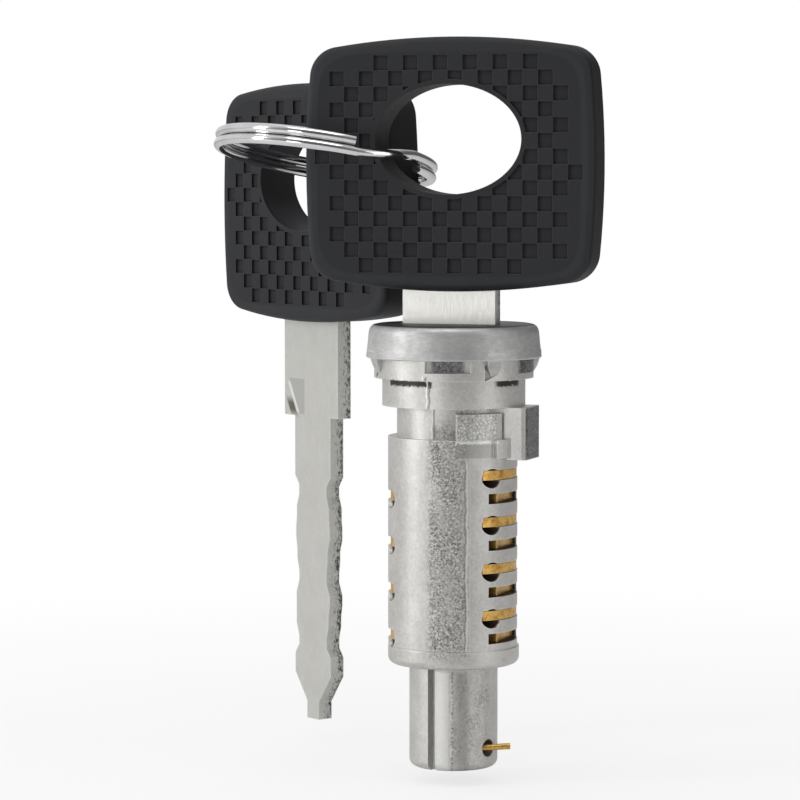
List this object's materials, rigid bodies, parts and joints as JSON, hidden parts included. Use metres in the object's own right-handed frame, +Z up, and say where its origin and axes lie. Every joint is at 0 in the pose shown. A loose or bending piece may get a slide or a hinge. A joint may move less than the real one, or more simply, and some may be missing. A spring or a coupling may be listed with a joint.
{
  "type": "car door lock cylinder",
  "caption": "Wafer lock cylinder for a car door with a capped face, a stop arm, a grooved tail and a key in its keyway; a like key hangs from a split ring through both bows.",
  "frame": {"origin": "on the lock's axis, at the lower end of the barrel, where the tail starts", "axes": "+Z up the lock's axis towards the face and the keys, +X along the width of the keyway and of the key blade towards the stop arm, -Y towards the side with the wafers' springs"},
  "size_m": [0.0629, 0.0453, 0.0943],
  "materials": {
    "zinc_casting": "grainy die casting",
    "cap_steel": "satin pressing",
    "wafer_brass": "stamped",
    "spring_steel": "drawn wire",
    "clip_brass": "drawn wire",
    "key_steel": "finely brushed nickel plate",
    "bow_plastic": "moulded, with a fine squared grip",
    "ring_chrome": "polished"
  },
  "bodies": {
    "cylinder": {"cylinder_body": "zinc_casting", "face_cap": "cap_steel", "tail_clip": "clip_brass", "wafer_spring_1": "spring_steel", "wafer_spring_2": "spring_steel", "wafer_spring_3": "spring_steel", "wafer_spring_4": "spring_steel", "wafer_spring_5": "spring_steel", "wafer_spring_6": "spring_steel", "wafer_spring_7": "spring_steel", "wafer_spring_8": "spring_steel"},
    "wafer_1": {"wafer_1": "wafer_brass"},
    "wafer_2": {"wafer_2": "wafer_brass"},
    "wafer_3": {"wafer_3": "wafer_brass"},
    "wafer_4": {"wafer_4": "wafer_brass"},
    "wafer_5": {"wafer_5": "wafer_brass"},
    "wafer_6": {"wafer_6": "wafer_brass"},
    "wafer_7": {"wafer_7": "wafer_brass"},
    "wafer_8": {"wafer_8": "wafer_brass"},
    "key": {"key_blade": "key_steel", "key_bow": "bow_plastic"},
    "split_ring": {"split_ring": "ring_chrome"},
    "spare_key": {"spare_key_blade": "key_steel", "spare_key_bow": "bow_plastic"}
  },
  "joints": [
    {"name": "key_slide", "type": "slide", "parent": "cylinder", "child": "key", "axis": [0, 0, 1], "range_m": [0, 0.052]},
    {"name": "wafer_1_slide", "type": "slide", "parent": "cylinder", "child": "wafer_1", "axis": [1, 0, 0], "range_m": [0, 0.0008]},
    {"name": "wafer_2_slide", "type": "slide", "parent": "cylinder", "child": "wafer_2", "axis": [-1, 0, 0], "range_m": [0, 0.0008]},
    {"name": "wafer_3_slide", "type": "slide", "parent": "cylinder", "child": "wafer_3", "axis": [1, 0, 0], "range_m": [0, 0.0008]},
    {"name": "wafer_4_slide", "type": "slide", "parent": "cylinder", "child": "wafer_4", "axis": [-1, 0, 0], "range_m": [0, 0.0008]},
    {"name": "wafer_5_slide", "type": "slide", "parent": "cylinder", "child": "wafer_5", "axis": [1, 0, 0], "range_m": [0, 0.0008]},
    {"name": "wafer_6_slide", "type": "slide", "parent": "cylinder", "child": "wafer_6", "axis": [-1, 0, 0], "range_m": [0, 0.0008]},
    {"name": "wafer_7_slide", "type": "slide", "parent": "cylinder", "child": "wafer_7", "axis": [1, 0, 0], "range_m": [0, 0.0008]},
    {"name": "wafer_8_slide", "type": "slide", "parent": "cylinder", "child": "wafer_8", "axis": [-1, 0, 0], "range_m": [0, 0.0008]},
    {"name": "ring_swing", "type": "hinge", "parent": "key", "child": "split_ring", "pos_m": [-0.0062, 0, 0.0651], "axis": [0.3585, 0.9108, -0.2047], "range_deg": [-8, 8]},
    {"name": "spare_key_swing", "type": "hinge", "parent": "split_ring", "child": "spare_key", "pos_m": [-0.0232, 0.0189, 0.0635], "axis": [0.9528, 0.2639, -0.1502], "range_deg": [-8, 8]}
  ],
  "couplings": [
    {"joint": "wafer_1_slide", "follows": "key_slide", "ratio": 0.0153},
    {"joint": "wafer_2_slide", "follows": "key_slide", "ratio": 0.0153},
    {"joint": "wafer_3_slide", "follows": "key_slide", "ratio": 0.0153},
    {"joint": "wafer_4_slide", "follows": "key_slide", "ratio": 0.0153},
    {"joint": "wafer_5_slide", "follows": "key_slide", "ratio": 0.0153},
    {"joint": "wafer_6_slide", "follows": "key_slide", "ratio": 0.0153},
    {"joint": "wafer_7_slide", "follows": "key_slide", "ratio": 0.0153},
    {"joint": "wafer_8_slide", "follows": "key_slide", "ratio": 0.0153}
  ]
}
